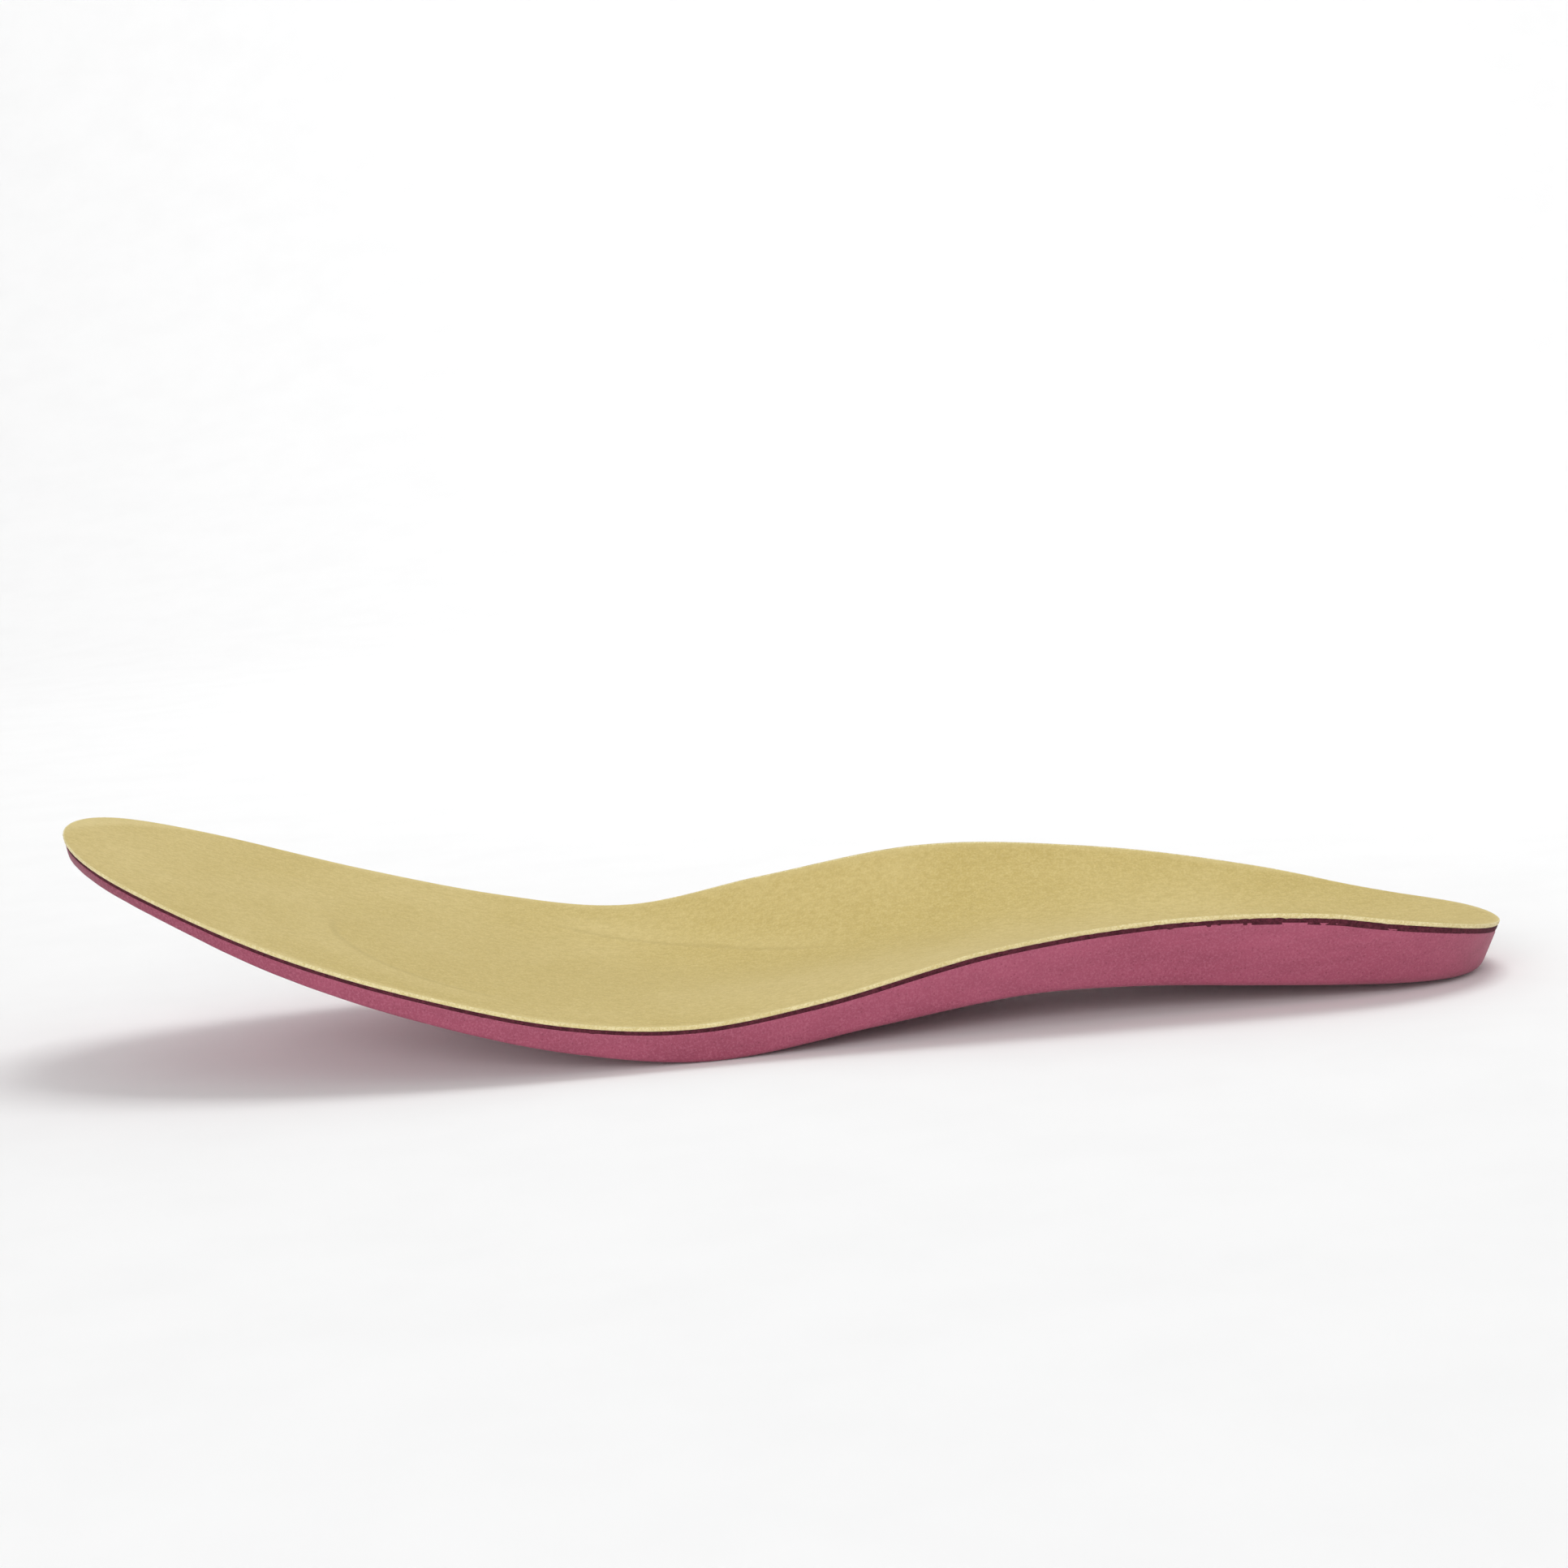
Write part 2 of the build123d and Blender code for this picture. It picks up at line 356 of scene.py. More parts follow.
class Surface:
    """A Principled material built up with a few kinds of procedural node."""

    def __init__(self, name, roughness, specular=0.3, sheen=0.0):
        self.material = bpy.data.materials.new(name)
        self.material.use_nodes = True
        self.tree = self.material.node_tree
        self.shader = self.tree.nodes["Principled BSDF"]
        self.shader.inputs["Roughness"].default_value = roughness
        self.shader.inputs["Specular IOR Level"].default_value = specular
        self.shader.inputs["Sheen Weight"].default_value = sheen
        self.shader.inputs["Sheen Roughness"].default_value = 0.5
        self.place = self.tree.nodes.new("ShaderNodeTexCoord").outputs["Object"]

    def node(self, kind, **values):
        made = self.tree.nodes.new(kind)
        for key, value in values.items():
            setattr(made, key, value)
        return made

    def link(self, source, target):
        self.tree.links.new(source, target)

    def stretched(self, scale):
        mapping = self.node("ShaderNodeMapping")
        mapping.inputs["Scale"].default_value = scale
        self.link(self.place, mapping.inputs["Vector"])
        return mapping.outputs["Vector"]

    def noise(self, scale, detail=4.0, roughness=0.55, stretch=(1, 1, 1)):
        made = self.node("ShaderNodeTexNoise")
        made.inputs["Scale"].default_value = scale
        made.inputs["Detail"].default_value = detail
        made.inputs["Roughness"].default_value = roughness
        self.link(self.stretched(stretch), made.inputs["Vector"])
        return made.outputs["Fac"]

    def cells(self, scale, stretch=(1, 1, 1)):
        made = self.node("ShaderNodeTexVoronoi")
        made.inputs["Scale"].default_value = scale
        self.link(self.stretched(stretch), made.inputs["Vector"])
        return made.outputs["Distance"]

    def spread(self, value, low, high, to_low=0.0, to_high=1.0):
        made = self.node("ShaderNodeMapRange")
        made.interpolation_type = "SMOOTHSTEP"
        for key, number in zip(RANGE_SOCKETS, (low, high, to_low, to_high)):
            made.inputs[key].default_value = number
        self.link(value, made.inputs["Value"])
        return made.outputs["Result"]

    def math(self, operation, first, second):
        made = self.node("ShaderNodeMath", operation=operation)
        for socket, value in zip(made.inputs, (first, second)):
            if isinstance(value, (int, float)):
                socket.default_value = value
            else:
                self.link(value, socket)
        return made.outputs["Value"]

    def mix(self, factor, first, second, blend="MIX"):
        made = self.node("ShaderNodeMix", data_type="RGBA", blend_type=blend)
        named = {"Factor": factor, "A": first, "B": second}
        for socket in made.inputs:
            usable = socket.enabled and (socket.type == "RGBA" or socket.name == "Factor")
            if socket.name in named and usable:
                value = named[socket.name]
                if isinstance(value, (int, float, tuple)):
                    socket.default_value = value
                else:
                    self.link(value, socket)
        return next(s for s in made.outputs if s.type == "RGBA")

    def colour(self, socket):
        self.link(socket, self.shader.inputs["Base Color"])

    def roughness(self, socket):
        self.link(socket, self.shader.inputs["Roughness"])

    def bump(self, height, distance_mm, strength=1.0):
        made = self.node("ShaderNodeBump")
        made.inputs["Distance"].default_value = distance_mm * MM
        made.inputs["Strength"].default_value = strength
        self.link(height, made.inputs["Height"])
        if self.shader.inputs["Normal"].links:
            self.link(self.shader.inputs["Normal"].links[0].from_socket, made.inputs["Normal"])
        self.link(made.outputs["Normal"], self.shader.inputs["Normal"])


# Two faint creases of the cover, in metres, drawn only as painted shade and a painted highlight: a
# straight one and an arc behind the toe.
CREASE_DIRECTION = (0.33, 0.944)
CREASE_OFFSET = 0.0144
ARC_CENTRE = (-0.042, 0.003)
ARC_RADIUS = 0.0355
CREASE_WANDER = 0.006


def crease_distances(s):
    """Signed distances to two faint creases of the cover, in metres, each with its mask."""
    split = s.node("ShaderNodeSeparateXYZ")
    s.link(s.place, split.inputs["Vector"])
    x, y = split.outputs["X"], split.outputs["Y"]
    wander = s.math("MULTIPLY", s.math("SUBTRACT", s.noise(24, detail=2), 0.5), CREASE_WANDER)
    along_x = s.math("MULTIPLY", x, CREASE_DIRECTION[0])
    slope = s.math("ADD", along_x, s.math("MULTIPLY", y, CREASE_DIRECTION[1]))
    straight = s.math("ADD", s.math("SUBTRACT", slope, CREASE_OFFSET), wander)
    over = s.math("MULTIPLY", s.spread(x, -0.046, -0.036), s.spread(x, 0.000, 0.012, 1.0, 0.0))
    dx = s.math("SUBTRACT", x, ARC_CENTRE[0])
    dy = s.math("SUBTRACT", y, ARC_CENTRE[1])
    squares = s.math("ADD", s.math("MULTIPLY", dx, dx), s.math("MULTIPLY", dy, dy))
    radius = s.math("SQRT", squares, 0)
    arc = s.math("ADD", s.math("SUBTRACT", radius, ARC_RADIUS), wander)
    toe_side = s.spread(x, -0.050, -0.038, 1.0, 0.0)
    near_toe = s.math("MULTIPLY", toe_side, s.spread(y, -0.004, 0.004, 1.0, 0.0))
    return (straight, over), (arc, near_toe)


def cover_fabric():
    """Brushed tan textile with a fine nap and soft cloudy tone, a painted highlight along its rim
    and a few faint creases drawn as painted shade and painted highlight.
    """
    s = Surface("cover_fabric", roughness=0.92, specular=0.12, sheen=0.06)
    cloud = s.noise(22, detail=3)
    patches = s.noise(70, detail=5)
    nap = s.noise(2600, detail=3, roughness=0.7)
    brushed = s.noise(1000, detail=4, roughness=0.7, stretch=(0.7, 1, 1))
    tone = s.mix(s.spread(cloud, 0.35, 0.68), srgb(197, 176, 108), srgb(207, 187, 124))
    tone = s.mix(s.spread(patches, 0.3, 0.75, 0.0, 0.3), tone, srgb(191, 170, 104))
    tone = s.mix(s.spread(nap, 0.38, 0.66, 0.0, 0.5), tone, srgb(221, 204, 146))
    tone = s.mix(s.spread(brushed, 0.34, 0.62, 0.3, 0.0), tone, srgb(172, 150, 86))
    # Painted highlight: the cover is lighter along its rim, where the footbed curves up into the
    # lip.
    rim = s.node("ShaderNodeAttribute", attribute_name="edge_share").outputs["Fac"]
    tone = s.mix(s.spread(rim, 0.94, 1.0, 0.0, 0.35), tone, srgb(226, 210, 154))
    for distance, mask in crease_distances(s):
        # Painted shade along the crease line.
        line = s.spread(s.math("ABSOLUTE", distance, 0), 0.0, 0.0012, 0.22, 0.0)
        tone = s.mix(s.math("MULTIPLY", line, mask), tone, srgb(158, 136, 78))
        # Painted highlight on one side of the crease.
        shade = s.spread(distance, -0.0025, 0.0015, 0.0, 0.12)
        fold_highlight = s.math("MULTIPLY", shade, s.spread(distance, 0.0015, 0.009, 1.0, 0.0))
        tone = s.mix(s.math("MULTIPLY", fold_highlight, mask), tone, srgb(232, 216, 160))
    s.colour(tone)
    s.roughness(s.spread(patches, 0.2, 0.8, 0.86, 0.97))
    s.bump(brushed, 0.10, 0.6)
    s.bump(nap, 0.07, 0.9)
    return s.material


def cover_edge():
    """Pale cut edge of the textile, with the weave's fibre ends showing."""
    s = Surface("cover_cut_edge", roughness=0.95, specular=0.1, sheen=0.3)
    fibres = s.noise(2400, detail=4, roughness=0.75)
    runs = s.noise(240, detail=4)
    tone = s.mix(s.spread(fibres, 0.35, 0.68), srgb(214, 196, 134), srgb(242, 230, 182))
    tone = s.mix(s.spread(runs, 0.35, 0.75, 0.0, 0.4), tone, srgb(201, 181, 116))
    s.colour(tone)
    s.bump(fibres, 0.15, 0.9)
    return s.material


def backing_foam():
    """Dark maroon bonding layer with a rough torn edge; its dark tone is partly its own colour and
    partly painted shade of the groove under the cover's edge.
    """
    s = Surface("backing_foam", roughness=0.85, specular=0.2)
    grain = s.noise(1500, detail=5, roughness=0.75)
    runs = s.noise(160, detail=3)
    # The dark tone: partly the layer's own colour, partly painted shade of the groove under the
    # cover.
    tone = s.mix(s.spread(grain, 0.3, 0.72), srgb(58, 20, 29), srgb(104, 46, 60))
    tone = s.mix(s.spread(runs, 0.4, 0.75, 0.0, 0.5), tone, srgb(82, 33, 45))
    s.colour(tone)
    s.bump(grain, 0.25, 1.0)
    return s.material


def base_foam():
    """Moulded maroon foam with a fine speckled skin and faint flow marks, with painted shade towards
    the toe and in its pores.
    """
    s = Surface("base_foam", roughness=0.62, specular=0.32, sheen=0.06)
    cloud = s.noise(30, detail=4)
    speckle = s.noise(2500, detail=4, roughness=0.75)
    flow = s.noise(330, detail=5, roughness=0.65, stretch=(0.22, 1, 1))
    pores = s.cells(1300)
    tone = s.mix(s.spread(cloud, 0.32, 0.7), srgb(150, 68, 91), srgb(163, 79, 103))
    tone = s.mix(s.spread(flow, 0.35, 0.72, 0.0, 0.35), tone, srgb(132, 60, 80))
    # Painted shade: the foam is darker towards the toe end.
    split = s.node("ShaderNodeSeparateXYZ")
    s.link(s.place, split.inputs["Vector"])
    tone = s.mix(s.spread(split.outputs["X"], -0.122, -0.070, 0.6, 0.0), tone, srgb(112, 48, 66))
    tone = s.mix(s.spread(speckle, 0.44, 0.66, 0.0, 0.5), tone, srgb(184, 106, 128))
    # Painted shade: darker dots in the pores.
    tone = s.mix(s.spread(pores, 0.0, 0.3, 0.5, 0.0), tone, srgb(108, 43, 61))
    s.colour(tone)
    s.roughness(s.spread(speckle, 0.25, 0.75, 0.52, 0.74))
    s.bump(flow, 0.10, 0.5)
    s.bump(speckle, 0.05, 0.8)
    s.bump(pores, 0.03, 0.5)
    return s.material


def arch_rubber():
    """Firm red arch leaf: smoother and brighter than the foam, with a matt mould grain."""
    s = Surface("arch_rubber", roughness=0.5, specular=0.4)
    cloud = s.noise(40, detail=3)
    grain = s.noise(1500, detail=4, roughness=0.7)
    tone = s.mix(s.spread(cloud, 0.3, 0.7), srgb(168, 40, 58), srgb(190, 56, 76))
    tone = s.mix(s.spread(grain, 0.4, 0.75, 0.0, 0.3), tone, srgb(214, 88, 104))
    s.colour(tone)
    s.roughness(s.spread(grain, 0.25, 0.75, 0.42, 0.6))
    s.bump(grain, 0.05, 0.8)
    return s.material


# ------------------------------------------------------------------ the cover and backing
COVER_ROUND = 0.3
COVER_FRAY = 0.035
BACKING_ROUND = 0.1
BACKING_FRAY = 0.05
BACKING_SHORTFALL = 0.38
outline = closed_curve(on_axis(EDGE), OUTLINE_COUNT)
out_normal = outward(outline)


def make_cover():
    """The fabric sheet, with a rounded lip and a slightly frayed cut edge."""
    fray = COVER_FRAY * smooth_noise(OUTLINE_COUNT, [180, 233, 311, 402, 467], seed=3)
    rings = layer_edge(outline, 0, COVER_THICKNESS, COVER_ROUND, fray)
    materials = [cover_fabric(), cover_edge()]
    piece = layer_piece("top_cover", rings, 0, COVER_THICKNESS, COVER_GRID, materials)
    # The share of the way to the edge is kept as edge_share, to place the painted highlight along
    # the cover's rim.
    places = np.array([v.co for v in piece.data.vertices]) / MM
    share = piece.data.attributes.new("edge_share", "FLOAT", "POINT")
    share.data.foreach_set("value", to_edge(places[:, 0], places[:, 1]).astype(np.float32))
    return piece


def make_backing():
    """The thin dark layer under the cover, a little short of the cover's edge."""
    noise = smooth_noise(OUTLINE_COUNT, [37, 71, 113, 197, 283, 397], seed=8)
    ragged = BACKING_FRAY * noise - BACKING_SHORTFALL
    rings = layer_edge(outline, COVER_THICKNESS, BACKING_THICKNESS, BACKING_ROUND, ragged)
    return layer_piece(
        "cover_backing", rings, COVER_THICKNESS, BACKING_THICKNESS, BACKING_GRID, [backing_foam()]
    )


# ------------------------------------------------------------------ the foam base
POCKET_DEPTH = 0.45
RIDGE_HEIGHT = 0.4
SEAM_GROOVE = 0.5
LEAF_RECESS = 1.6
LEAF_THICKNESS = 1.4
FLOOR_GAP = 0.02
FOAM_LIP = 0.25
WALL_RIPPLE = 0.05
WALL_SHARES = (0.08, 0.3, 0.55, 0.8, 1.0)
POCKET_RIM_INSET = 0.3
POCKET_FLOOR_INSET = 0.72
RIDGE_INSET = 0.75
RIDGE_FOOT = 0.42
RIDGE_TOP = 0.14
LEAF_SIDE_GAP = 0.12
EDGE_MARGIN = 0.9
LEAF_MARGIN = 1.4
# Edge of the leaf, from its hidden side out: (inset from its outline, depth in the foam).
LEAF_PROFILE = ((0.10, LEAF_THICKNESS), (0.0, 0.8), (0.03, 0.32), (0.14, 0.10), (0.40, 0.03))

# Cells of the relief, as column and row of the lattice. Pockets are whole sunk hexagons, and
# opens are ridges round most of a cell. The last one of OPENS is a guess.
POCKETS = [
    (4, 0), (3, 0), (0, 0), (1, 1), (1, 2), (0, 2), (0, 3), (-2, 3), (4, 2), (4, 3), (5, 4),
    (6, 4), (7, 4), (7, 2), (8, 2), (8, 3), (9, 3), (4, 6), (3, 6), (4, 7), (9, 7), (8, 7),
    (7, 7), (6, 8), (9, 12), (2, 7), (3, 8), (12, 9), (13, 10), (14, 13), (11, 13), (14, 9),
    (15, 12), (17, 11), (20, 13), (19, 13), (20, 15), (22, 16), (24, 15), (25, 16), (29, 16),
    (30, 16), (30, 17), (29, 18), (28, 19), (30, 20), (32, 19), (32, 20), (33, 19), (8, 12),
]
OPENS = [
    (2, 0), (1, -1), (-2, -1), (-1, 0), (-2, 0), (-1, 1), (1, 4), (0, 4), (-1, 3), (-1, 4),
    (-3, 1), (-2, 2), (3, 3), (6, 3), (6, 5), (4, 5), (5, 6), (10, 4), (11, 5), (9, 5), (9, 6),
    (10, 7), (8, 8), (7, 9), (5, 9), (5, 10), (7, 11), (3, 9), (11, 9), (11, 11), (12, 12),
    (16, 14), (12, 14), (13, 14), (12, 7), (13, 7), (13, 8), (15, 11), (16, 12), (18, 13),
    (19, 14), (21, 15), (23, 17), (19, 16), (23, 15), (27, 15), (28, 15), (31, 16), (28, 17),
    (28, 18), (27, 18), (29, 20), (31, 19), (31, 21), (33, 18), (33, 21), (34, 19), (9, 13),
]
LATTICE_TOE_X = -126.0
LATTICE_TOE_COLUMN = 6.32
LATTICE_AXIS_ROW = 4.84


def cell_centre(column, row):
    """Plan place of a honeycomb cell: columns run to the heel, rows to the outer side."""
    x = LATTICE_TOE_X + (1.5 * column + LATTICE_TOE_COLUMN) * HEX_SIDE
    y = FOOT_AXIS_Y - (math.sqrt(3) * (row - column / 2) - LATTICE_AXIS_ROW) * HEX_SIDE
    return np.array([x, y])


def hexagon(centre, radius):
    """Corners of a hexagon with one corner towards +X."""
    angle = np.radians(np.arange(6) * 60)
    return centre + radius * np.stack([np.cos(angle), np.sin(angle)], 1)


def inside_polygon(points, polygon):
    """Which of the points lie inside a closed outline."""
    x, y = points[:, 0], points[:, 1]
    result = np.zeros(len(points), bool)
    before = np.roll(polygon, 1, axis=0)
    for (x1, y1), (x0, y0) in zip(polygon, before):
        if y1 == y0:
            continue
        crossing = ((y1 > y) != (y0 > y)) & (x < (x0 - x1) * (y - y1) / (y0 - y1) + x1)
        result ^= crossing
    return result


def offset_path(path, distance):
    """An open path moved sideways, with mitred corners."""
    step = np.diff(path, axis=0)
    step /= np.hypot(*step.T)[:, None]
    side = np.stack([-step[:, 1], step[:, 0]], 1)
    normals = np.vstack([side[:1], side[:-1] + side[1:], side[-1:]])
    lengths = np.hypot(*normals.T)
    normals /= lengths[:, None]
    scale = np.ones(len(path))
    scale[1:-1] = 1 / np.maximum((normals[1:-1] * side[1:]).sum(1), 0.5)
    return path + normals * (scale * distance)[:, None]


class Relief:
    """Plan points, edges between them and how far each stands into the foam."""

    def __init__(self):
        self.points = []
        self.raised = []
        self.edges = []

    def loop(self, points, raised):
        first = len(self.points)
        count = len(points)
        self.points += [tuple(p) for p in points]
        self.raised += [raised] * count
        self.edges += [(first + i, first + (i + 1) % count) for i in range(count)]

    def path(self, points, raised):
        first = len(self.points)
        self.points += [tuple(p) for p in points]
        self.raised += list(np.broadcast_to(raised, len(points)))
        self.edges += [(first + i, first + i + 1) for i in range(len(points) - 1)]

    def scatter(self, points, raised):
        self.points += [tuple(p) for p in points]
        self.raised += list(np.broadcast_to(raised, len(points)))


def wall_rings():
    """Rings of the base from its top edge down the leaning wall and round onto the underside."""
    lean = line_height(WALL_LEAN, outline[:, 0])
    ripple = WALL_RIPPLE * smooth_noise(OUTLINE_COUNT, [23, 41, 67, 101], seed=5)
    rim = footbed_height(outline[:, 0], outline[:, 1]) - LAYERS
    depth = np.full(OUTLINE_COUNT, 4.0)
    for _ in range(25):
        foot = outline - out_normal * ((depth + LAYERS) * lean)[:, None]
        depth = 0.5 * depth + 0.5 * (rim - underside_height(foot[:, 0], foot[:, 1]))
    heel_round = np.clip((outline[:, 0] - 70) / 50, 0, 1)
    rounding = np.clip(0.2 * depth, 0.5, 1.2) + 0.8 * heel_round
    lip = FOAM_LIP * (1 - np.clip((outline[:, 0] + 10) / 40, 0, 1))
    rings = []

    def wall_point(down, extra_inset=0.0):
        plan = outline - out_normal * ((down + LAYERS) * lean + extra_inset - ripple)[:, None]
        return np.column_stack([plan, rim - down + lip * np.clip(1 - down, 0, 1)])

    edge = wall_point(np.zeros(OUTLINE_COUNT), 0.35)
    edge[:, 2] = footbed_height(edge[:, 0], edge[:, 1]) - LAYERS
    rings.append(edge)
    rings.append(wall_point(np.full(OUTLINE_COUNT, 0.06), 0.12))
    for share in WALL_SHARES:
        rings.append(wall_point(0.2 + share * (depth - rounding - 0.2)))
    start = wall_point(depth - rounding)
    corner = wall_point(depth)
    inner = corner[:, :2] - out_normal * (rounding * 1.15)[:, None]
    end = np.column_stack([inner, underside_height(inner[:, 0], inner[:, 1])])
    for t in np.linspace(0.14, 1.0, 8):
        rings.append((1 - t) ** 2 * start + 2 * t * (1 - t) * corner + t * t * end)
    return rings


def open_ridge(centre):
    """Centre line of a ridge along most of a cell, open at the lower left, with a hook."""
    corners = hexagon(centre, HEX_SIDE - RIDGE_INSET)
    left, upper_left, upper_right = corners[3], corners[2], corners[1]
    right, lower_right, lower_left = corners[0], corners[5], corners[4]
    tail = left + 0.18 * (lower_left - left)
    hook = lower_right + 0.3 * (lower_left - lower_right)
    return np.array([tail, left, upper_left, upper_right, right, lower_right, hook])


def underside_relief(boundary, leaf):
    """The honeycomb and the recess of the arch leaf, as points and edges in plan."""
    relief = Relief()
    relief.loop(boundary, 0.0)
    leaf_normal = outward(leaf)
    recess_rim = leaf + leaf_normal * SEAM_GROOVE
    relief.loop(recess_rim, 0.0)
    relief.loop(leaf + leaf_normal * LEAF_SIDE_GAP, LEAF_RECESS)
    keep_in = boundary - outward(boundary) * EDGE_MARGIN
    keep_out = leaf + leaf_normal * LEAF_MARGIN
    used = []

    def clear(points):
        return inside_polygon(points, keep_in) & ~inside_polygon(points, keep_out)

    for column, row in POCKETS:
        centre = cell_centre(column, row)
        outer = hexagon(centre, HEX_SIDE - POCKET_RIM_INSET)
        if clear(outer).all():
            relief.loop(outer, 0.0)
            relief.loop(hexagon(centre, HEX_SIDE - POCKET_FLOOR_INSET), POCKET_DEPTH)
            relief.scatter([centre], POCKET_DEPTH)
            used.append(centre)
    for column, row in OPENS:
        centre = cell_centre(column, row)
        path = open_ridge(centre)
        good = clear(path)
        first = int(np.argmax(good))
        last = first
        while last < len(path) and good[last]:
            last += 1
        if good.any() and last - first >= 3:
            path = path[first:last]
            fade = np.full(len(path), -RIDGE_HEIGHT)
            fade[0] = fade[-1] = 0.0
            for side in (-RIDGE_FOOT, RIDGE_FOOT):
                relief.path(offset_path(path, side), 0.0)
            for side in (-RIDGE_TOP, RIDGE_TOP):
                relief.path(offset_path(path, side), fade)
            used.append(centre)
    grid = plan_grid(RELIEF_GRID)
    away = inside_polygon(grid, boundary - outward(boundary) * 0.8)
    away &= ~inside_polygon(grid, recess_rim + leaf_normal * 0.6)
    for centre in used:
        away &= np.hypot(*(grid - centre).T) > HEX_SIDE + 0.2
    relief.scatter(grid[away], 0.0)
    inside_leaf = inside_polygon(grid, leaf - leaf_normal * 0.8)
    relief.scatter(grid[inside_leaf], LEAF_RECESS)
    return relief


def surface_normals(x, y, height):
    """Unit normals, pointing up, of a height formula."""
    step = 0.5
    dx = (height(x + step, y) - height(x - step, y)) / (2 * step)
    dy = (height(x, y + step) - height(x, y - step)) / (2 * step)
    normal = np.stack([-dx, -dy, np.ones_like(dx)], 1)
    return normal / np.linalg.norm(normal, axis=1)[:, None]


def make_base(leaf):
    """The foam moulding: footbed side, leaning wall, rounded edge and underside relief."""
    rings = wall_rings()
    top, top_faces = filled(
        rings[0][:, :2], lambda x, y: footbed_height(x, y) - LAYERS, FOOTBED_GRID
    )
    boundary = rings[-1]
    relief = underside_relief(boundary[:, :2], leaf)
    plan = [Vector(p) for p in relief.points]
    made, _, triangles, from_points, _, _ = delaunay_2d_cdt(plan, relief.edges, [], 1, 1e-4)
    made = np.array([tuple(p) for p in made])
    raised = np.array([relief.raised[ids[0]] if ids else 0.0 for ids in from_points])
    centres = np.array([made[list(t)].mean(0) for t in triangles])
    keep = inside_polygon(centres, boundary[:, :2])
    under = np.column_stack([made, underside_height(made[:, 0], made[:, 1])])
    under += surface_normals(made[:, 0], made[:, 1], underside_height) * raised[:, None]
    under[:, 2] = np.maximum(under[:, 2], FLOOR_GAP)
    count = OUTLINE_COUNT
    points = np.concatenate(rings + [under, top])
    faces = stacked_faces(len(rings), count)
    first = len(rings) * count
    faces += shifted([t for t, ok in zip(triangles, keep) if ok], first)
    first += len(under)
    faces += shifted(top_faces, first)
    piece = new_piece("foam_base", points, faces, [base_foam()])
    weld(piece, BASE_WELD)
    sharpen(piece, SHARP_DEGREES)
    return piece


def sharpen(piece, degrees):
    """Marks edges that turn by more than this as sharp, so shading keeps them crisp."""
    bm = bmesh.new()
    bm.from_mesh(piece.data)
    limit = math.radians(degrees)
    for edge in bm.edges:
        if len(edge.link_faces) == 2 and edge.calc_face_angle(0) > limit:
            edge.smooth = False
    bm.to_mesh(piece.data)
    bm.free()


def make_insert(leaf):
    """The firm leaf: a flush skin with a rounded edge, let into the base."""
    leaf_normal = outward(leaf)

    def sunk(plan, sink):
        base = np.column_stack([plan, underside_height(plan[:, 0], plan[:, 1])])
        return base + surface_normals(plan[:, 0], plan[:, 1], underside_height) * sink

    plans = [leaf - leaf_normal * inset for inset, _ in LEAF_PROFILE]
    points = [sunk(plan, sink) for plan, (_, sink) in zip(plans, LEAF_PROFILE)]
    count = len(leaf)
    faces = stacked_faces(len(LEAF_PROFILE), count)
    first = len(LEAF_PROFILE) * count
    for plan, (_, sink) in ((plans[0], LEAF_PROFILE[0]), (plans[-1], LEAF_PROFILE[-1])):
        patch, triangles = filled(plan, underside_height, LEAF_GRID)
        points.append(sunk(patch[:, :2], sink))
        faces += shifted(triangles, first)
        first += len(patch)
    piece = new_piece("arch_leaf", np.concatenate(points), faces, [arch_rubber()])
    weld(piece, SHEET_WELD)
    return piece


# ------------------------------------------------------------------ scene
def make_floor():
    """A large pale studio floor that curves up into its own backdrop."""
    mesh = bpy.data.meshes.new("studio_floor")
    half = 3.0
    flat_to = 0.9
    bend = 0.8
    steps = 12
    points = []
    faces = []
    profile = [(-half, 0.0), (flat_to, 0.0)]
    for k in range(1, steps + 1):
        angle = math.radians(90 * k / steps)
        profile.append((flat_to + bend * math.sin(angle), bend * (1 - math.cos(angle))))
    profile.append((1.7, half))
    for y, z in profile:
        points += [(-half, y, z), (half, y, z)]
    for k in range(len(profile) - 1):
        faces.append((2 * k, 2 * k + 1, 2 * k + 3, 2 * k + 2))
    mesh.from_pydata(points, [], faces)
    mesh.polygons.foreach_set("use_smooth", [True] * len(faces))
    s = Surface("studio_floor", roughness=0.85, specular=0.15)
    fleck = s.noise(40, detail=2)
    darker, lighter = (0.93, 0.93, 0.93, 1), (0.95, 0.95, 0.95, 1)
    s.colour(s.mix(s.spread(fleck, 0.2, 0.8, 0.0, 1.0), darker, lighter))
    mesh.materials.append(s.material)
    floor = bpy.data.objects.new("studio_floor", mesh)
    bpy.context.scene.collection.objects.link(floor)


def area_light(name, place, target, size, power):
    data = bpy.data.lights.new(name, "AREA")
    data.shape = "RECTANGLE"
    data.size, data.size_y = size
    data.energy = power
    light = bpy.data.objects.new(name, data)
    light.location = place
    light.rotation_euler = (Vector(target) - Vector(place)).to_track_quat("-Z", "Y").to_euler()
    bpy.context.scene.collection.objects.link(light)


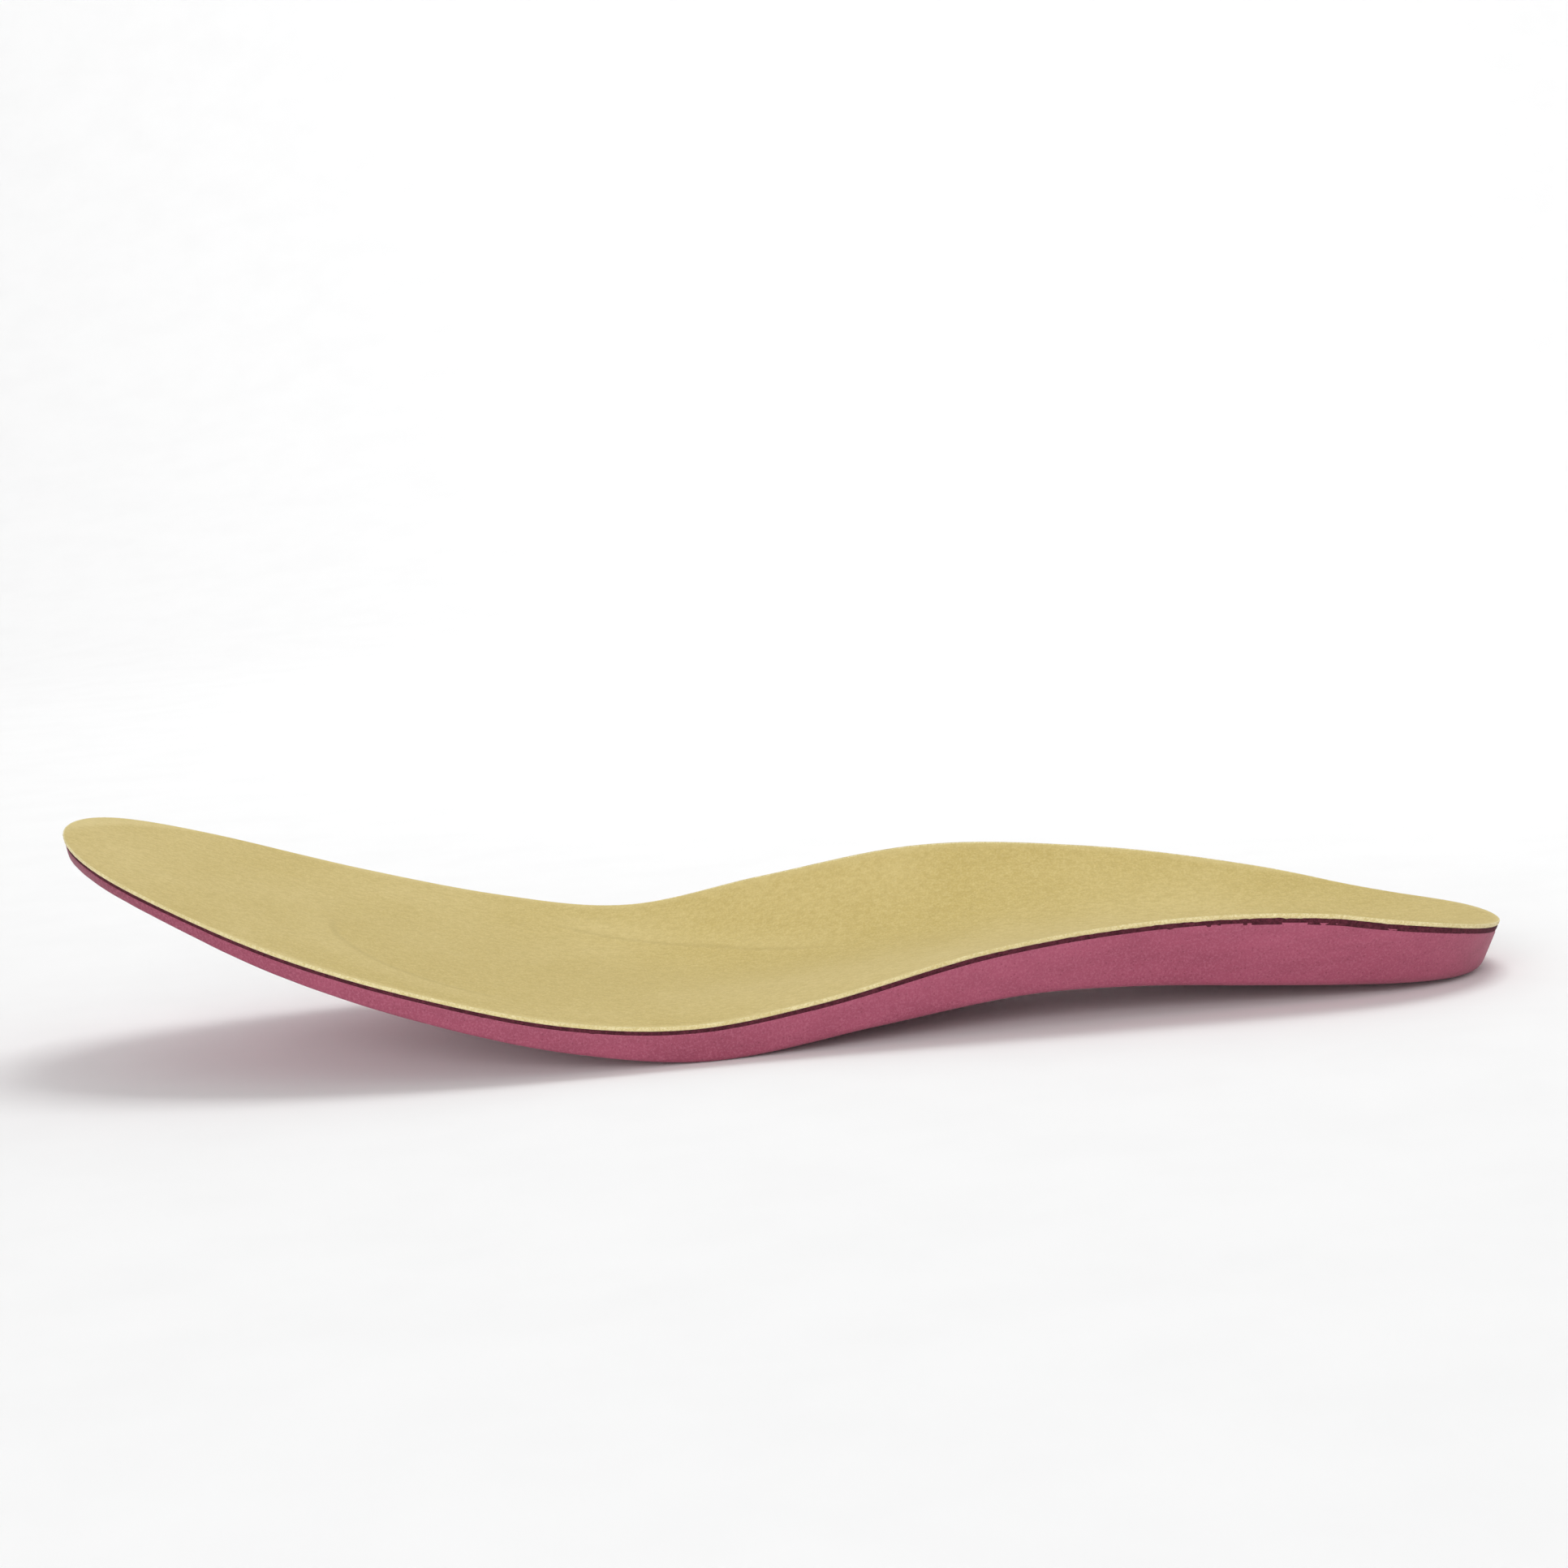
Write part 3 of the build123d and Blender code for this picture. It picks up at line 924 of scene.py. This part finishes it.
def make_lights():
    area_light("softbox_top", (0.22, 0.40, 1.05), (0, 0, 0), (0.6, 0.5), 5.2)
    area_light("softbox_front", (-0.30, -1.2, 0.45), (0, 0, 0.01), (1.0, 0.6), 6.6)
    area_light("softbox_backdrop", (0, 0.75, 1.1), (0, 1.7, 0.45), (1.6, 0.4), 5.0)
    world = bpy.data.worlds.new("studio")
    world.use_nodes = True
    tree = world.node_tree
    background = tree.nodes["Background"]
    background.inputs["Strength"].default_value = 1.0
    place = tree.nodes.new("ShaderNodeTexCoord")
    split = tree.nodes.new("ShaderNodeSeparateXYZ")
    fall = tree.nodes.new("ShaderNodeMapRange")
    for key, number in zip(RANGE_SOCKETS, (0.0, 0.8, 0.95, 0.38)):
        fall.inputs[key].default_value = number
    tree.links.new(place.outputs["Generated"], split.inputs["Vector"])
    tree.links.new(split.outputs["Z"], fall.inputs["Value"])
    tree.links.new(fall.outputs["Result"], background.inputs["Color"])
    bpy.context.scene.world = world
    bpy.context.scene.view_settings.view_transform = "Standard"


def make_camera():
    """Low side view from the heel end, a little rolled."""
    azimuth = math.radians(5)
    elevation = math.radians(7)
    roll = math.radians(-4.76)
    distance = 0.62
    target = Vector((0.0043, 0.00085, 0.0403))
    level_share = math.cos(elevation)
    ahead = Vector(
        (-math.sin(azimuth) * level_share, math.cos(azimuth) * level_share, -math.sin(elevation))
    )
    level = Vector((math.cos(azimuth), math.sin(azimuth), 0))
    upright = level.cross(ahead)
    right = level * math.cos(roll) + upright * math.sin(roll)
    up = upright * math.cos(roll) - level * math.sin(roll)
    data = bpy.data.cameras.new("camera")
    data.sensor_width = 36
    data.lens = 81.5
    camera = bpy.data.objects.new("camera", data)
    axes = Matrix((right, up, -ahead)).transposed().to_4x4()
    camera.matrix_world = Matrix.Translation(target - ahead * distance) @ axes
    bpy.context.scene.collection.objects.link(camera)
    bpy.context.scene.camera = camera


make_camera()
make_floor()
make_lights()

leaf_outline = closed_curve(on_axis(ARCH_LEAF), LEAF_COUNT)
cover = make_cover()
backing = make_backing()
base = make_base(leaf_outline)
insert = make_insert(leaf_outline)

# ------------------------------------------------------------------ hidden CAD parts, baked transforms and the insert's body
for piece, name, slot in (
    (cover, "top_cover", "cover_fabric"),
    (backing, "cover_backing", "backing_foam"),
    (base, "foam_base", "base_foam"),
):
    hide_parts(f"{name}_forefoot", f"{name}_rearfoot")
    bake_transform(piece)
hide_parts("arch_insert")
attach(insert, "rearfoot")
